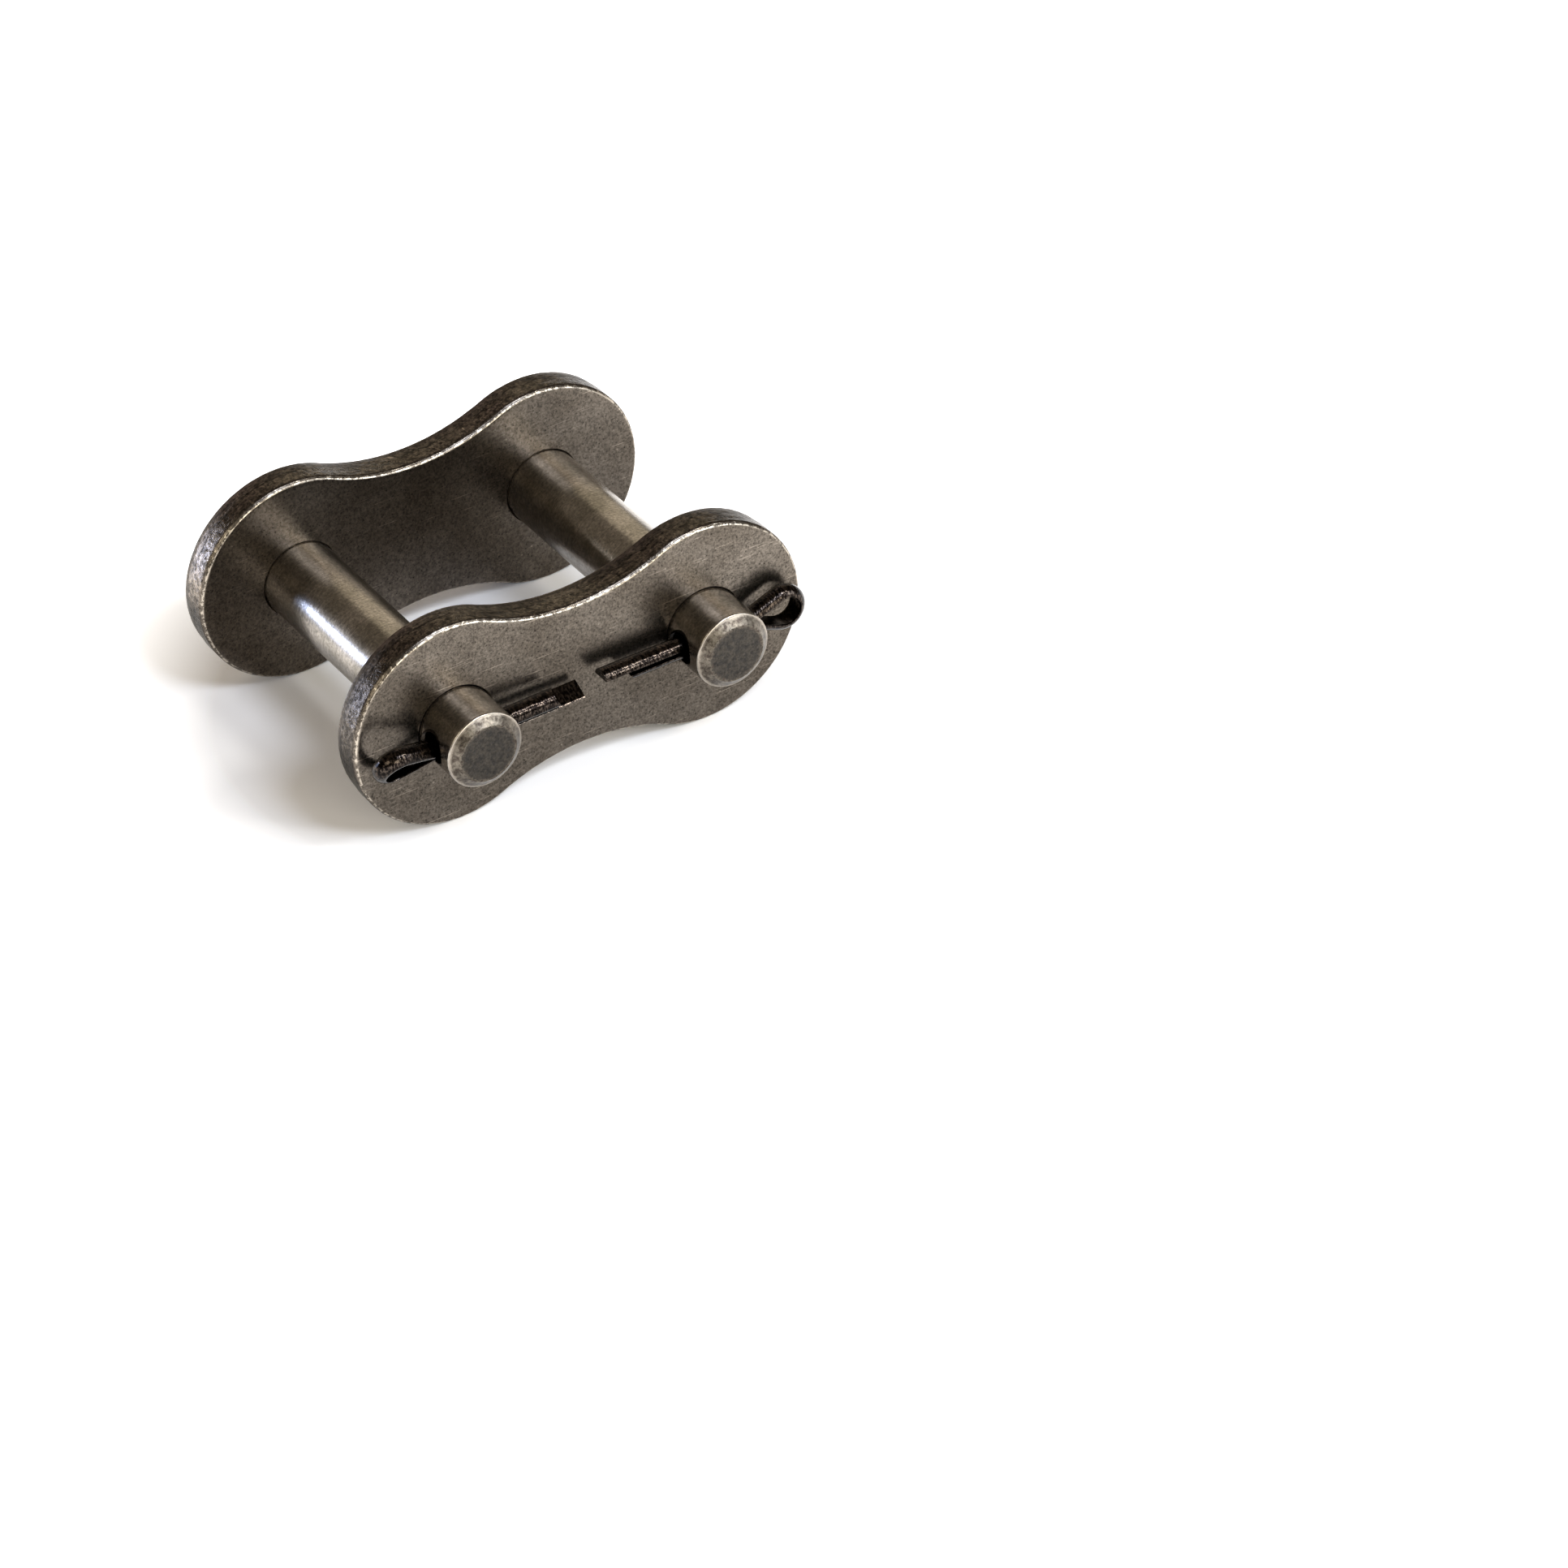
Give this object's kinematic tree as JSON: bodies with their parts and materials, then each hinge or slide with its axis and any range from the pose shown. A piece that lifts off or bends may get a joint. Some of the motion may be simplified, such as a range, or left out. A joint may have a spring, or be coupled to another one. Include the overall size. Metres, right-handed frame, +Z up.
{
  "type": "chain connecting link",
  "caption": "Connecting link of a heavy roller chain: a back plate with riveted pins, a slip-on cover plate, and a split cotter of half-round wire through each pin's free end.",
  "frame": {"origin": "centre of the bounding box on the floor that the link stands on", "axes": "+X along the chain from the left pin to the right pin, +Z up, across the chain; the pins lie along Y with the cover plate and cotters on the -Y side"},
  "size_m": [0.0686, 0.056, 0.0305],
  "materials": {
    "plate_steel": "stamped medium-carbon steel, hardened, dark brown-grey temper oxide under oil",
    "pin_steel": "ground case-hardened alloy steel, thin olive-grey temper oxide",
    "cotter_steel": "folded half-round mild steel wire, blackened, rough"
  },
  "bodies": {
    "pinned_plate": {"back_plate": "plate_steel", "pin_left": "pin_steel", "pin_right": "pin_steel"},
    "cover": {"cover_plate": "plate_steel"},
    "left_cotter": {"cotter_left": "cotter_steel"},
    "right_cotter": {"cotter_right": "cotter_steel"}
  },
  "joints": [
    {"name": "cover_slide", "type": "slide", "parent": "pinned_plate", "child": "cover", "axis": [0, 1, 0], "range_m": [0, 0.036]},
    {"name": "left_cotter_pull", "type": "slide", "parent": "pinned_plate", "child": "left_cotter", "axis": [-0.9998, -0.02, 0], "range_m": [0, 0.0235]},
    {"name": "right_cotter_pull", "type": "slide", "parent": "pinned_plate", "child": "right_cotter", "axis": [1, 0, 0], "range_m": [0, 0.0235]}
  ]
}
